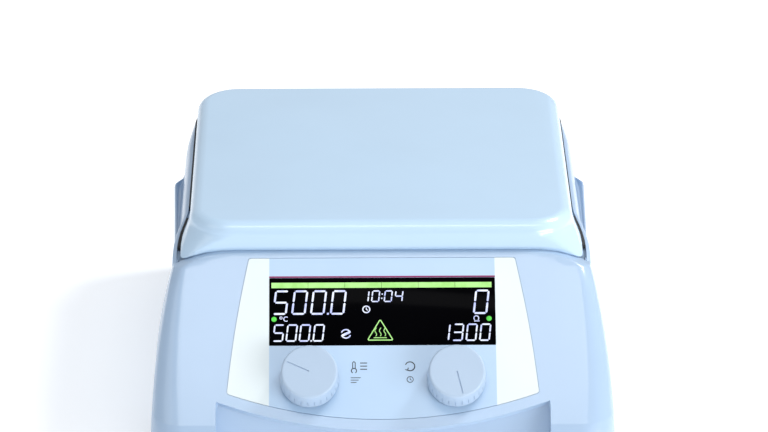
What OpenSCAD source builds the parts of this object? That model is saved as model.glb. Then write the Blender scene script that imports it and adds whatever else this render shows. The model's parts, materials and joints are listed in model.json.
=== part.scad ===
// Hotplate magnetic stirrer with a square top plate and a sloped control console.
// Millimetres, +Z up, controls face -Y, origin under the middle of the object.

/* [Overall] */
// Height of the top plate above the bench
plate_z = 110; // [105:1:115]
// Width of the console at the bench
base_w = 226; // [222:1:228]
// Y of the rear face, half of the overall depth
rear_y = 140; // [139:1:141]
// Wall thickness of the housings
wall = 3; // [2.5:0.1:3]
// Height of the rubber feet
foot_h = 7; // [7:0.5:8]

/* [Top plate] */
// Side of the square plate
plate_w = 190; // [186:1:191]
// Y of the plate centre and of the stirring axis
plate_y = 27; // [26:1:28]
// Corner radius of the plate in plan
plate_corner = 22; // [16:1:26]
// Radius of the rounded top edge
plate_edge = 7; // [6:0.5:9]
// Thickness of the plate
plate_t = 4; // [3:0.5:4]
// Height of the joint between plate and housing
joint_z = 98; // [97.5:0.5:98.5]

/* [Console] */
// Slope of the control panel in degrees
panel_tilt = 45; // [44.5:0.1:45.5]
// Radius of the curved front lip, measured on the slope
lip_r = 226; // [180:2:300]
// Slope length from the panel's top edge to the middle of the lip
lip_v = 92.6; // [91:0.2:93]
// Half width of the finger recess under the lip
recess_x = 81; // [74:1:84]
// Thickness of the lip
lip_t = 4; // [3:0.5:4.5]

/* [Knobs] */
// Knob diameter
knob_d = 29; // [24:0.5:30]
// Knob height
knob_h = 12; // [9:0.5:14]
// Distance between the two knobs
knob_gap = 71.2; // [60:0.2:74]
// Slope length from the panel's top edge to the knobs
knob_v = 67; // [65:0.2:68]
// Push travel of each knob
push = 0.7; // [0.4:0.1:0.8]

/* [Display] */
// Display width
lcd_w = 110.4; // [90:0.2:112]
// Display height
lcd_h = 35.4; // [28:0.2:36]
// Slope length from the panel's top edge to the display's middle
lcd_v = 31.3; // [28:0.1:34]

/* [Drive] */
// Diameter of the motor can
motor_d = 60; // [50:1:64]
// Diameter of the motor shaft
shaft_d = 6; // [5:0.5:6]
// Diameter of the magnet carrier
carrier_d = 64; // [56:1:70]

/* [Hidden] */
$fn = 64;
eps = 0.05;         // overshoot of a cut, or clearance of a fixed fit
run_fit = 0.05;     // radial clearance of a running fit
panel_y = -70;      // top edge of the sloped panel
panel_z = 96;
split_y = -66;      // plane between the console and the main housing
rim_z = joint_z - 2;
shoulder_z = 87;
grip_y = 70;        // rear end of the side grips at the bottom
recess_y = -122;    // back wall of the finger recess
pan_t = 3;
floor_z = foot_h + pan_t;
deck_z = 64;
deck_t = 2;
wall_top = 0.5;     // depth of the seat for the panel overlay
motor_top = 56;
motor_bottom = 22;
bearing_r = 8;
shaft_r = shaft_d / 2;
board_z = 17.6;
knob_w = 1;         // gap under the knob
board_w = -14;      // front face of the control board, along the panel's normal
rear_in = rear_y - wall;
inlet_at = [-44, 46];
switch_at = [20, 46];
probe_at = [52, 56];
usb_at = [52, 30];
rod_at = [-70, 128.5];
rod_r = 5;
rod_depth = 20;
post_at = [[-84, -50], [84, -50], [-84, 108], [84, 108]];
foot_at = [[-92, -100], [92, -100], [-86, 122], [86, 122]];
boss_at = [[-96.5, -20], [96.5, -20], [-96.5, 70], [96.5, 70], [-75, -113], [75, -113]];
standoff_at = [[-68, -41], [68, -41], [-68, 95], [68, 95]];
mount_at = [[-35, -8], [35, -8], [-35, 62], [35, 62]];
panel_screw_at = [[-60, 81], [60, 81], [-60, 12.8], [60, 12.8]];
lead_at = [[-56, 84], [-64, 84]];
sensor_at = [0, 76];
// inlet pins in the rear frame, where +Y points down
pin_at = [[-14, -3], [-21, 3], [-7, 3]];

housing_grey = [0.80, 0.86, 0.92];
cover_white = [0.96, 0.97, 0.99];
steel = [0.72, 0.73, 0.75];
black = [0.10, 0.10, 0.11];
board_green = [0.10, 0.36, 0.22];

// ---------- helpers ----------

// Rectangle from y0 to y1, centred on X, with rounded corners
module round_rect(w, y0, y1, r) {
    translate([0, (y0 + y1) / 2])
        offset(r = r) square([w - 2 * r, y1 - y0 - 2 * r], center = true);
}

// Thin slab used as one level of a lofted housing
module level(z, w, y0, y1, r) {
    translate([0, 0, z]) linear_extrude(0.5) round_rect(w, y0, y1, r, $fn = 40);
}

// Places children at each [x, y] of a list
module at_each(points, z = 0) {
    for (p = points) translate([p[0], p[1], z]) children();
}

module disc(r, z0, z1) {
    translate([0, 0, z0]) cylinder(r = r, h = z1 - z0);
}

module ring(r_out, r_in, z0, z1) {
    difference() {
        disc(r_out, z0, z1);
        disc(r_in, z0 - 1, z1 + 1);
    }
}

module block(x0, x1, y0, y1, z0, z1) {
    translate([x0, y0, z0]) cube([x1 - x0, y1 - y0, z1 - z0]);
}

// Panel frame: origin on the slope at length v, +Y up the slope, +Z out of the panel
module on_panel(v, x = 0) {
    translate([x, panel_y - v * cos(panel_tilt), panel_z - v * sin(panel_tilt)])
        rotate([panel_tilt, 0, 0]) children();
}

// Rear frame: origin on the rear panel's outer face, +Z pointing backwards
module on_rear(at) {
    translate([at[0], rear_in, at[1]]) rotate([-90, 0, 0]) children();
}

// Box in the rear frame, from depth z0 to z1
module rear_box(w, h, z0, z1) {
    translate([-w / 2, -h / 2, z0]) cube([w, h, z1 - z0]);
}

module on_axis() {
    translate([0, plate_y, 0]) children();
}

// Square plate with rounded corners around the stirring axis
module square_plate(w, r, z0, z1) {
    on_axis() translate([0, 0, z0]) linear_extrude(z1 - z0) round_rect(w, -w / 2, w / 2, r);
}

// ---------- heated top ----------

// Solid with a rolled top edge and upright sides down to the joint
module plate_blank(w, corner, edge, top) {
    k = w / 2 - corner;
    on_axis() hull() {
        for (x = [-k, k], y = [-k, k]) translate([x, y, top - edge])
            rotate_extrude($fn = 48) translate([corner - edge, 0]) circle(edge, $fn = 32);
        translate([0, 0, joint_z]) linear_extrude(1)
            round_rect(w, -w / 2, w / 2, corner, $fn = 48);
    }
}

// Front apron of the cover, dipping at its two corners, grown by g
module apron(g = 0) {
    front = plate_y - plate_w / 2;
    half = plate_w / 2 + g;
    intersection() {
        translate([0, 0, 80]) linear_extrude(joint_z - 80)
            round_rect(2 * half, front - g, front + 60, plate_corner + g);
        translate([0, front + 30 + g, 0]) rotate([90, 0, 0]) linear_extrude(40)
            polygon([[-half, 92.4 - g], [-78, 96.3 - g], [78, 96.3 - g], [half, 92.4 - g],
                [half, joint_z], [-half, joint_z]]);
    }
}

module top_cover() color(cover_white)
    difference() {
        union() {
            difference() {
                plate_blank(plate_w, plate_corner, plate_edge, plate_z);
                block(-150, 150, -100, 200, joint_z - 60, joint_z);
            }
            apron();
        }
        translate([0, 0, 80]) linear_extrude(plate_z - plate_t - 80)
            round_rect(plate_w - 2 * plate_t, plate_y - plate_w / 2 + plate_t,
                plate_y + plate_w / 2 - plate_t, plate_corner - plate_t);
    }

module cover_gasket() color(black)
    difference() {
        square_plate(plate_w + 2, plate_corner + 1, rim_z, joint_z);
        square_plate(plate_w - 8, plate_corner - 4, rim_z - 1, joint_z + 1);
        block(-150, 150, -100, plate_y - plate_w / 2 + 31, rim_z - 1, joint_z + 1);
    }

module heater_element() color([0.62, 0.55, 0.40])
    difference() {
        square_plate(172, 14, 104, plate_z - plate_t);
        at_each([sensor_at], 100) cylinder(r = 3, h = 10);
    }

module heater_clamp_plate() color(steel)
    difference() {
        square_plate(174, 14, 102, 104);
        at_each([sensor_at], 100) cylinder(r = 3, h = 10);
        at_each(lead_at, 100) cylinder(r = 2.2, h = 10);
    }

module insulation_pad() color([0.90, 0.88, 0.82])
    difference() {
        square_plate(174, 14, 92, 102);
        at_each([sensor_at], 90) cylinder(r = 3, h = 14);
        at_each(lead_at, 90) cylinder(r = 2.2, h = 14);
    }

module heat_shield() color(steel)
    difference() {
        square_plate(178, 16, 90.5, 102);
        square_plate(174, 14, 92, 110);
        at_each([sensor_at], 80) cylinder(r = 3, h = 20);
        at_each(lead_at, 80) cylinder(r = 2.2, h = 20);
    }

module plate_standoffs() color([0.93, 0.92, 0.88])
    at_each(standoff_at) {
        disc(5, deck_z, 90.5);
        disc(7, deck_z, deck_z + 3);
    }

module plate_sensor() color(steel)
    at_each([sensor_at]) {
        disc(2.5, 76, plate_z - plate_t);
        disc(5, 86, 90.5);
    }

module heater_leads() color([0.75, 0.20, 0.15])
    at_each(lead_at) disc(1.5, board_z, 104);

// ---------- housings ----------

// Lofted outside of the main housing, or its cavity when inset by the wall.
// It runs past the split plane, where the housing is cut off square.
module housing_blank(inset, z_low, z_high) {
    front = split_y - 30;
    hull() {
        level(z_low, 205.4 - 2 * inset, front, rear_y - inset, 22 - inset);
        level(shoulder_z, 201.6 - 2 * inset, front, rear_y - inset, 22 - inset);
        level(z_high - 0.5, 196 - 2 * inset, front, rear_y - 3 - inset, 20 - inset);
    }
}

module main_housing() color(housing_grey)
    difference() {
        union() {
            difference() {
                housing_blank(0, foot_h, rim_z);
                housing_blank(wall, foot_h - 1, rim_z - wall);
                block(-150, 150, -150, split_y, 0, 150);
            }
            for (p = boss_at) if (p[1] > split_y)
                translate([p[0], p[1], floor_z]) cylinder(r = 5, h = 22);
        }
        // opening for the heater under the plate
        translate([0, 0, rim_z - 10]) linear_extrude(20)
            round_rect(182, plate_y - 91, plate_y + 91, 16);
        block(-78, 78, split_y - 1, -50, 60, rim_z + 1);
        apron(eps);
        // window for the rear panel
        block(-78, 78, rear_in - 4, rear_y + 1, 16, 76);
        for (p = panel_screw_at) on_rear(p) {
            disc(1.7, -1, wall + 1);
            disc(3, 1.5, wall + 1);
        }
        at_each([rod_at], 80) cylinder(r = 6 + eps, h = 30);
        at_each(boss_at, floor_z - 1) cylinder(r = 1.55, h = 18);
    }

// Moulded grip beside the plate, dished along its top edge; its rear end leans forward
module side_grip() color(housing_grey)
    difference() {
        translate([0, grip_y, 0]) rotate([90, 0, 0]) linear_extrude(grip_y - split_y)
            polygon([[102.73, foot_h + 1], [107.6, foot_h + 1], [106.8, 80], [105.9, 82.5],
                [104.4, 81], [102.4, 78], [101.06, 78]]);
        translate([90, grip_y, 0]) rotate([14, 0, 0]) translate([0, 0, -30])
            cube([40, 80, 150]);
    }

module side_grip_right() side_grip();
module side_grip_left() mirror([1, 0, 0]) side_grip();

// Lofted outside of the console, or its cavity when inset by the wall.
// It runs past the split plane, where the console is cut off square.
module console_blank(inset, z_low) {
    back = split_y + 30;
    hull() {
        level(z_low, base_w - 2 * inset, inset - rear_y, back, 18 - inset);
        level(33 - inset * 0.42, 225 - 2 * inset, -132.5 + inset, back, 16 - inset);
        level(89.5 - inset * 1.41, 204.6 - 2 * inset, -76, back, 4);
        level(95.5 - inset * 1.41, 160 - 2 * inset, panel_y, back, 1.5);
    }
}

// Plate on the slope that ends in the curved lip over the finger recess
module lip() {
    on_panel(0) translate([0, 0, -lip_t]) linear_extrude(lip_t) intersection() {
        translate([-recess_x, -lip_v - 1]) square([2 * recess_x, 31]);
        translate([0, lip_r - lip_v]) circle(lip_r, $fn = 240);
    }
}

module console_housing() color(housing_grey)
    difference() {
        union() {
            difference() {
                console_blank(0, foot_h);
                difference() {
                    console_blank(wall, foot_h - 1);
                    block(-recess_x - wall, recess_x + wall, -150, recess_y + wall, 0, 60);
                }
                block(-150, 150, split_y, 150, 0, 150);
                block(-recess_x, recess_x, -150, recess_y, 0, 60);
            }
            lip();
            // rear flanges that close the console where it stands wider than the main housing
            intersection() {
                console_blank(0, foot_h);
                for (x = [-120, 99.8])
                    block(x, x + 20.2, split_y - wall, split_y, floor_z + eps, 86);
            }
            for (p = boss_at) if (p[1] < split_y)
                translate([p[0], p[1], floor_z]) cylinder(r = 6.5, h = 14);
        }
        apron(eps);
        on_panel(0) translate([0, 0, -wall_top]) linear_extrude(5) overlay_outline(0.15);
        on_panel(lcd_v) linear_extrude(20, center = true)
            square([lcd_w + 0.2, lcd_h + 0.2], center = true);
        for (x = [-1, 1]) on_panel(knob_v, x * knob_gap / 2) disc(4.8, -6, 6);
        at_each(boss_at, floor_z - 1) cylinder(r = 1.55, h = 13);
    }

module pan_outline() {
    union() {
        round_rect(199 - 2 * eps, split_y - 40, rear_in - 2 * eps, 19);
        translate([-108.5, recess_y + wall + eps]) square([217, split_y - recess_y - wall - 1]);
        for (s = [-1, 1]) translate([s * 96.5 - 12, -126]) square([24, 30]);
    }
}

module base_pan() color([0.30, 0.31, 0.33])
    difference() {
        union() {
            translate([0, 0, foot_h]) linear_extrude(pan_t) pan_outline();
            for (x = [-87, -40], y = [-38, 92])
                translate([x, y, floor_z]) cylinder(r = 3, h = board_z - 1.6 - floor_z);
        }
        at_each(foot_at, foot_h - 1) cylinder(r = 3.55, h = 10);
        at_each(boss_at, foot_h - 1) cylinder(r = 1.7, h = 10);
        for (i = [-4:4]) block(i * 7 - 1.75, i * 7 + 1.75, -3, 57, foot_h - 1, floor_z + 1);
    }

module rubber_feet() color(black)
    at_each(foot_at) {
        rotate_extrude() polygon([[0, 0], [9.5, 0], [11, 1.5], [11, foot_h], [0, foot_h]]);
        disc(3.5, foot_h, floor_z + 0.2);
        disc(4.6, floor_z, floor_z + 2);
    }

module base_screws() color(steel)
    at_each(boss_at) {
        ring(3, 1, foot_h - 1.8, foot_h);
        disc(1.5, foot_h - 1, floor_z + 11);
    }

module deck_plate() color(steel)
    difference() {
        translate([0, 0, deck_z - deck_t]) linear_extrude(deck_t) round_rect(184, -58, 118, 6);
        on_axis() disc(14, 50, 80);
        at_each(mount_at, 50) cylinder(r = 2.1, h = 30);
        at_each(lead_at, 50) cylinder(r = 3, h = 30);
    }

module deck_posts() color(steel)
    at_each(post_at, floor_z) cylinder(r = 5, h = deck_z - deck_t - floor_z);

// ---------- control panel ----------

// Outline of the printed overlay, on the slope, grown by g
module overlay_outline(g = 0) {
    intersection() {
        polygon([[-65.1 - g, -3.3 + g], [65.1 + g, -3.3 + g], [75.6 + g, -74],
            [75.6 + g, -90], [-75.6 - g, -90], [-75.6 - g, -74]]);
        translate([0, 220 - 87]) circle(220 + g, $fn = 240);
    }
}

module panel_overlay() color([0.93, 0.96, 0.99])
    difference() {
        on_panel(0) translate([0, 0, -wall_top]) linear_extrude(wall_top + 0.1)
            overlay_outline();
        on_panel(lcd_v) linear_extrude(4, center = true)
            square([lcd_w, lcd_h], center = true);
        for (x = [-1, 1]) on_panel(knob_v, x * knob_gap / 2) disc(5, -2, 2);
    }

module display_lens() color([0.05, 0.05, 0.07])
    on_panel(lcd_v) translate([-lcd_w / 2 + eps, -lcd_h / 2 + eps, -wall])
        cube([lcd_w - 2 * eps, lcd_h - 2 * eps, wall]);

module lcd_module() color([0.55, 0.57, 0.60])
    on_panel(lcd_v) translate([-57, -19, -wall - 6]) cube([114, 38, 6 - eps]);

module control_board() color(board_green)
    on_panel(0) translate([-68, -78, board_w - 1.6]) cube([136, 70, 1.6]);

module encoder_body(x) color([0.25, 0.26, 0.28])
    on_panel(knob_v, x) difference() {
        union() {
            translate([-6, -6, board_w]) cube([12, 12, 9]);
            disc(4.5, -5, -1);
        }
        disc(5, board_w + 1, -6.4);
        disc(shaft_r + run_fit, -7, 2);
    }

module encoder_plunger(x) color([0.85, 0.85, 0.82])
    on_panel(knob_v, x) disc(4.6, board_w + 1.1 + push, board_w + 3.1);

module encoder_shaft(x) color(steel)
    on_panel(knob_v, x) {
        disc(shaft_r, board_w + 3.2, 9);
        disc(4.5, -8, -6.9);
    }

// Knob with a finger groove, bored from below for its shaft
module knob(x, pointer) color([0.80, 0.82, 0.85])
    on_panel(knob_v, x) difference() {
        rotate_extrude($fn = 96) difference() {
            union() {
                translate([0, knob_w]) square([knob_d / 2 - 1.5, knob_h]);
                translate([0, knob_w + 1]) square([knob_d / 2, knob_h - 2.5]);
                translate([knob_d / 2 - 1.5, knob_w + knob_h - 1.5]) circle(1.5, $fn = 32);
            }
            translate([-50, -50]) square([50, 100]);
            translate([6, knob_w - 1]) square([knob_d / 2 - 8, knob_h - 2]);
        }
        disc(shaft_r + 0.02, knob_w - 1, 9.05);
        rotate([0, 0, pointer]) translate([0, -0.4, knob_w + knob_h - 0.6])
            cube([knob_d / 2 - 1.6, 0.8, 2]);
    }

module temp_encoder_body() encoder_body(-knob_gap / 2);
module temp_encoder_plunger() encoder_plunger(-knob_gap / 2);
module temp_encoder_shaft() encoder_shaft(-knob_gap / 2);
module temp_knob() knob(-knob_gap / 2, 150);
module speed_encoder_body() encoder_body(knob_gap / 2);
module speed_encoder_plunger() encoder_plunger(knob_gap / 2);
module speed_encoder_shaft() encoder_shaft(knob_gap / 2);
module speed_knob() knob(knob_gap / 2, -77);

// ---------- stirring drive ----------

module motor_can() color(steel)
    on_axis() difference() {
        disc(motor_d / 2, motor_bottom + 5, motor_top);
        disc(motor_d / 2 - 3, motor_bottom + 4, motor_top - 5);
        disc(bearing_r, 40, motor_top + 1);
    }

module motor_end_cap() color(steel)
    on_axis() ring(motor_d / 2, bearing_r, motor_bottom, motor_bottom + 5);

module stator_core() color([0.45, 0.46, 0.48])
    on_axis() ring(motor_d / 2 - 3 - 0.02, 16, 32, 46);

module stator_coils() color([0.72, 0.42, 0.20])
    on_axis() {
        ring(motor_d / 2 - 5, 17, 28.5, 32);
        ring(motor_d / 2 - 5, 17, 46, 49.5);
    }

module motor_bearings() color([0.80, 0.81, 0.83])
    on_axis() for (z = [motor_bottom, motor_top - 5])
        ring(bearing_r - 0.01, shaft_r + run_fit, z, z + 5);

module motor_shaft() color(steel)
    on_axis() disc(shaft_r, 13, 80);

module rotor_core() color([0.35, 0.36, 0.38])
    on_axis() ring(15.3, shaft_r + 0.01, 31, 47);

module cooling_fan() color([0.18, 0.18, 0.20])
    on_axis() {
        ring(8, shaft_r + 0.01, 14, 21);
        for (i = [0:8]) rotate([0, 0, i * 40]) difference() {
            translate([7.5, 0, 14.5]) rotate([0, 0, 18]) cube([18, 1.4, 6]);
            ring(60, 27, 0, 40);
        }
    }

module magnet_carrier() color([0.20, 0.21, 0.23])
    on_axis() difference() {
        union() {
            disc(8, 68, 76);
            disc(carrier_d / 2, 76, 82);
        }
        disc(shaft_r + 0.01, 60, 90);
        for (s = [-1, 1]) translate([s * 21 - 10, -7, 80]) cube([20, 14, 10]);
    }

module drive_magnets() color([0.62, 0.63, 0.66])
    on_axis() for (s = [-1, 1]) translate([s * 21 - 10 + eps, -7 + eps, 80])
        cube([20 - 2 * eps, 14 - 2 * eps, 8]);

module motor_bracket() color(steel)
    difference() {
        on_axis() translate([-43, -43, motor_top]) cube([86, 86, 2]);
        on_axis() disc(12, 50, 70);
        at_each(mount_at, 50) cylinder(r = 2.1, h = 20);
    }

module motor_grommets() color(black)
    at_each(mount_at) ring(5, 2.1, motor_top + 2, deck_z - deck_t);

module motor_screws() color(steel)
    at_each(mount_at) {
        disc(3.6, deck_z, deck_z + 2.5);
        disc(2, motor_top - 4, deck_z + 1);
        ring(3.8, 2, motor_top - 3, motor_top);
    }

// ---------- electronics ----------

module power_board() color(board_green)
    block(-91, -36, -43, 98, board_z - 1.6, board_z);

module transformer() color([0.30, 0.30, 0.34])
    difference() {
        block(-90, -46, -8, 42, board_z, board_z + 36);
        for (x = [-90, -51]) block(x - 1, x + 6, -9, 8, board_z - 1, board_z + 37);
        for (x = [-90, -51]) block(x - 1, x + 6, 26, 43, board_z - 1, board_z + 37);
    }

module heatsink() color([0.68, 0.69, 0.72]) {
    block(-90, -48, -41, -37, board_z, board_z + 30);
    for (x = [-90:6.6:-50]) block(x, x + 2, -37, -19, board_z, board_z + 30);
}

module board_capacitors() color([0.16, 0.20, 0.34])
    at_each([[-45, 60], [-63, 60], [-81, 60]], board_z) cylinder(r = 8, h = 28);

module ribbon_cable() color([0.55, 0.57, 0.60]) {
    block(-60, -44, -108, -107, 11.5, 24);
    block(-60, -44, -107, -52, 11.5, 12.5);
    block(-60, -44, -53, -52, 12.5, 16);
}

// ---------- rear of the housing ----------

module rear_panel() color([0.85, 0.88, 0.92])
    difference() {
        block(-79, 79, rear_in - 2, rear_in, floor_z + 0.1, 84.5);
        on_rear(inlet_at) rear_box(57.1, 27.1, -5, 5);
        on_rear(switch_at) rear_box(20.1, 27.1, -5, 5);
        on_rear(probe_at) disc(7.05, -5, 5);
        on_rear(usb_at) rear_box(14.1, 12.1, -5, 5);
        for (p = panel_screw_at) on_rear(p) disc(1.55, -5, 5);
        for (i = [0:7]) on_rear([-72 + i * 7, 22]) rear_box(3.5, 9, -5, 5);
    }

module rear_panel_screws() color(steel)
    for (p = panel_screw_at) on_rear(p) {
        disc(2.9, 1.5, 2.9);
        disc(1.5, -6, 2);
    }

module mains_inlet() color(black)
    on_rear(inlet_at) difference() {
        union() {
            rear_box(64, 32, 0, 2);
            rear_box(57, 27, -28, 1);
        }
        // socket for the mains lead, and slot for the fuse drawer
        translate([-14, 0, 0]) rear_box(25, 17, -15, 3);
        translate([14.8, 0, 0]) rear_box(24.8, 11, -25, 3);
        for (p = pin_at) translate([p[0], p[1], -40]) translate([-1.05, -2.05, 0])
            cube([2.1, 4.1, 50]);
    }

module inlet_pins() color([0.85, 0.80, 0.60])
    on_rear(inlet_at) for (p = pin_at) translate([p[0] - 1, p[1] - 2, -33])
        cube([2, 4, 29]);

module fuse_drawer() color([0.14, 0.14, 0.15])
    on_rear(inlet_at) translate([14.8, 0, 0]) difference() {
        rear_box(24, 10.2, -24, 1.8);
        translate([0, -2.2, 0]) rear_box(7, 12, -22.5, -1.5);
        translate([0, 3.4, 0]) rear_box(10, 2, 0.4, 3);
    }

module glass_fuse() color([0.80, 0.85, 0.88])
    on_rear(inlet_at) translate([14.8, 1.25, 0]) disc(2.5, -22, -2);

module switch_frame() color(black)
    on_rear(switch_at) difference() {
        union() {
            rear_box(24, 31, 0, 2);
            rear_box(20, 27, -20, 1);
        }
        rear_box(16, 23.4, -13, 3);
        translate([-9.2, 0, -6]) rotate([0, 90, 0]) cylinder(r = 1.5 + run_fit, h = 18.4);
    }

// Rocker on its own pivot, resting with the lower half pressed in
module power_rocker() color([0.12, 0.12, 0.13])
    on_rear(switch_at) translate([0, 0, -6]) rotate([8, 0, 0]) {
        translate([-7.6, 0, 0]) rotate([90, 0, 90]) linear_extrude(15.2)
            polygon([[-9, -2.5], [9, -2.5], [10, 5.6], [0, 4.4], [-10, 5.6]]);
        translate([-9, 0, 0]) rotate([0, 90, 0]) cylinder(r = 1.5, h = 18);
    }

module probe_socket() color(steel)
    on_rear(probe_at) difference() {
        union() {
            disc(9.5, 0, 1.8);
            disc(7, -14, 1);
        }
        disc(5, -10, 3);
    }

module data_port() color(steel)
    on_rear(usb_at) difference() {
        rear_box(14, 12, -15, 1);
        rear_box(9, 8.4, -10, 3);
    }

module rod_socket() color([0.80, 0.72, 0.50])
    at_each([rod_at]) difference() {
        disc(6, rim_z - rod_depth - 4, rim_z);
        disc(rod_r, rim_z - rod_depth, rim_z + 1);
    }

top_cover();
cover_gasket();
heater_element();
heater_clamp_plate();
insulation_pad();
heat_shield();
plate_standoffs();
plate_sensor();
heater_leads();
main_housing();
side_grip_left();
side_grip_right();
console_housing();
base_pan();
rubber_feet();
base_screws();
deck_plate();
deck_posts();
panel_overlay();
display_lens();
lcd_module();
control_board();
temp_encoder_body();
temp_encoder_plunger();
temp_encoder_shaft();
temp_knob();
speed_encoder_body();
speed_encoder_plunger();
speed_encoder_shaft();
speed_knob();
motor_can();
motor_end_cap();
stator_core();
stator_coils();
motor_bearings();
motor_shaft();
rotor_core();
cooling_fan();
magnet_carrier();
drive_magnets();
motor_bracket();
motor_grommets();
motor_screws();
power_board();
transformer();
heatsink();
board_capacitors();
rear_panel();
rear_panel_screws();
mains_inlet();
inlet_pins();
fuse_drawer();
glass_fuse();
switch_frame();
power_rocker();
probe_socket();
data_port();
rod_socket();
ribbon_cable();
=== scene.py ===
import json
import math

import bmesh
import bpy
from mathutils import Matrix, Vector


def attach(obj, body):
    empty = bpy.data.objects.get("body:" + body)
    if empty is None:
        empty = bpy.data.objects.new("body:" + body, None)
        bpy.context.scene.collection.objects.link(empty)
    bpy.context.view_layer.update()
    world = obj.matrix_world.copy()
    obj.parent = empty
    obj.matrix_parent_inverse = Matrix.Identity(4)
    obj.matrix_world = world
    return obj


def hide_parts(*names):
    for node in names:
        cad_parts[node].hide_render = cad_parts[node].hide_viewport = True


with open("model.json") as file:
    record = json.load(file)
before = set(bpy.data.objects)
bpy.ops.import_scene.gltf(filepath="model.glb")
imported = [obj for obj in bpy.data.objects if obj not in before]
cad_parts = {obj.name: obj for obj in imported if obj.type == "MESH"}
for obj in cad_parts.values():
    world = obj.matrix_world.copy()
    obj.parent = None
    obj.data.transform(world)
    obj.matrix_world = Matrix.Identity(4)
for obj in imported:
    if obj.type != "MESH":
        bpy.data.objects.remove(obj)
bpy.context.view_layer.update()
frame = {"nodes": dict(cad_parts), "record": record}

MM = 0.001
CHASSIS = "chassis"

# ---------------------------------------------------------------- driving sizes, in mm

PLATE_Y = 27.0          # centre of the plate and of the stirring axis
PLATE_HALF = 94.8
PLATE_TOP = 110.0
PLATE_CORNER = 22.0
FRONT_CORNER = 4.5      # corner radius at the lower edge in front
PLATE_EDGE = 6.5
FRONT_DROP = 1.9        # how far the cover's lower edge falls in front
CORNER_DROP = 8.8       # and at its two front corners
SKIRT_Z = 98.0          # lower edge of the cover beside and behind the plate
RIM_Z = 96.0            # top of the main housing
SPLIT_Y = -66.0         # joint between the console and the main housing
REAR_Y = 140.0          # back of the main housing
SIDE_X = 102.7          # side of the main housing, near the bottom
SHOULDER_Z = 83.8       # where its sides start to turn in towards the rim
BASE_Z = 7.0            # lower edge of both housings
WALL = 3.0
SEAL_FRONT_Y = -22.2    # front end of the long seal beside the plate
CORNER_SEAL_Y = (-57.0, -23.2)    # ends of the short seals at the front corners

PANEL_Y = -70.0         # top edge of the sloped panel
PANEL_Z = 96.0
TILT = math.radians(45)
LIP_V = 92.6            # slope length down to the lip's curved edge, in the middle
LIP_R = 226.0
LIP_TOP_V = 70.0        # upper end of the lip's block, just under the slope
RECESS_X = 81.0         # half width of the finger recess
RECESS_Y = -122.0       # its back wall
OVERLAY_R = 220.0
OVERLAY_V = 87.0        # slope length down to the middle of the overlay's curved edge

KNOB_V = 67.0           # slope length down to the knobs' axes
KNOB_X = 35.6
KNOB_R = 14.3
KNOB_H = 12.0
KNOB_GAP = 1.0          # between the panel and the knob's underside
KNOB_ROUND = 1.1        # rounding of the cap's edge
NOTCHES = 27
NOTCH_STEPS = 14        # points round the knob for each notch
NOTCH_DEPTH = 0.45

LCD_V = 13.6            # slope length down to the display's top edge
LCD_W = 110.4
LCD_H = 35.4
LIGHT_H = 0.08          # thickness of the lit shapes on the display
INK_LOW = 0.10          # print on the overlay: lower and upper face, above the slope
INK_HIGH = 0.14
BIG_DIGIT = (6.1, 11.8, 0.95)     # width, height and bar of a digit
SMALL_DIGIT = (4.5, 8.3, 0.75)
CLOCK_DIGIT = (3.4, 5.5, 0.62)
DIGIT_SLANT = 0.115


# ---------------------------------------------------------------- small helpers

def smooth(t):
    """0 below 0, 1 above 1, and a smooth step between them."""
    t = min(max(t, 0.0), 1.0)
    return t * t * (3 - 2 * t)


def panel_point(x, v, w):
    """A point at slope length v below the panel's top edge, w out of the panel."""
    c, s = math.cos(TILT), math.sin(TILT)
    return (x, PANEL_Y - v * c - w * s, PANEL_Z - v * s + w * c)


def arc(cx, cy, r, a0, a1, n):
    """n + 1 points of a circle's arc, angles in degrees."""
    angles = [math.radians(a0 + (a1 - a0) * i / n) for i in range(n + 1)]
    return [(cx + r * math.cos(a), cy + r * math.sin(a)) for a in angles]


def circle(cx, cy, r, count=24):
    """The points of a whole circle."""
    return arc(cx, cy, r, 0, 360 - 360 / count, count - 1)


def mesh_object(name, bm):
    """Turns a bmesh in mm into an object in metres."""
    bmesh.ops.scale(bm, vec=(MM, MM, MM), verts=bm.verts)
    bmesh.ops.recalc_face_normals(bm, faces=bm.faces)
    mesh = bpy.data.meshes.new(name)
    bm.to_mesh(mesh)
    bm.free()
    obj = bpy.data.objects.new(name, mesh)
    bpy.context.scene.collection.objects.link(obj)
    return obj


def new_object(name, bm, material, body=CHASSIS):
    """A shown piece that rides on a body."""
    obj = mesh_object(name, bm)
    obj.data.materials.append(material)
    if body:
        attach(obj, body)
    return obj


def smooth_by_angle(obj, degrees=35):
    """Smooth shading, with edges sharper than the angle left crisp."""
    mesh = obj.data
    mesh.polygons.foreach_set("use_smooth", [True] * len(mesh.polygons))
    bm = bmesh.new()
    bm.from_mesh(mesh)
    limit = math.radians(degrees)
    for edge in bm.edges:
        edge.smooth = len(edge.link_faces) == 2 and edge.calc_face_angle(0.0) < limit
    bm.to_mesh(mesh)
    bm.free()


def apply_modifiers(obj):
    """Replaces the object's mesh by its evaluated one and drops the modifiers."""
    graph = bpy.context.evaluated_depsgraph_get()
    mesh = bpy.data.meshes.new_from_object(obj.evaluated_get(graph))
    obj.modifiers.clear()
    old = obj.data
    obj.data = mesh
    bpy.data.meshes.remove(old)


def add_bevel(obj, width, segments=3, degrees=30):
    bevel = obj.modifiers.new("edge_round", "BEVEL")
    bevel.width = width * MM
    bevel.segments = segments
    bevel.limit_method = "ANGLE"
    bevel.angle_limit = math.radians(degrees)
    bevel.harden_normals = False


def cutter(bm):
    """A tool mesh for booleans; combine removes it."""
    return mesh_object("tool", bm)


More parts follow.
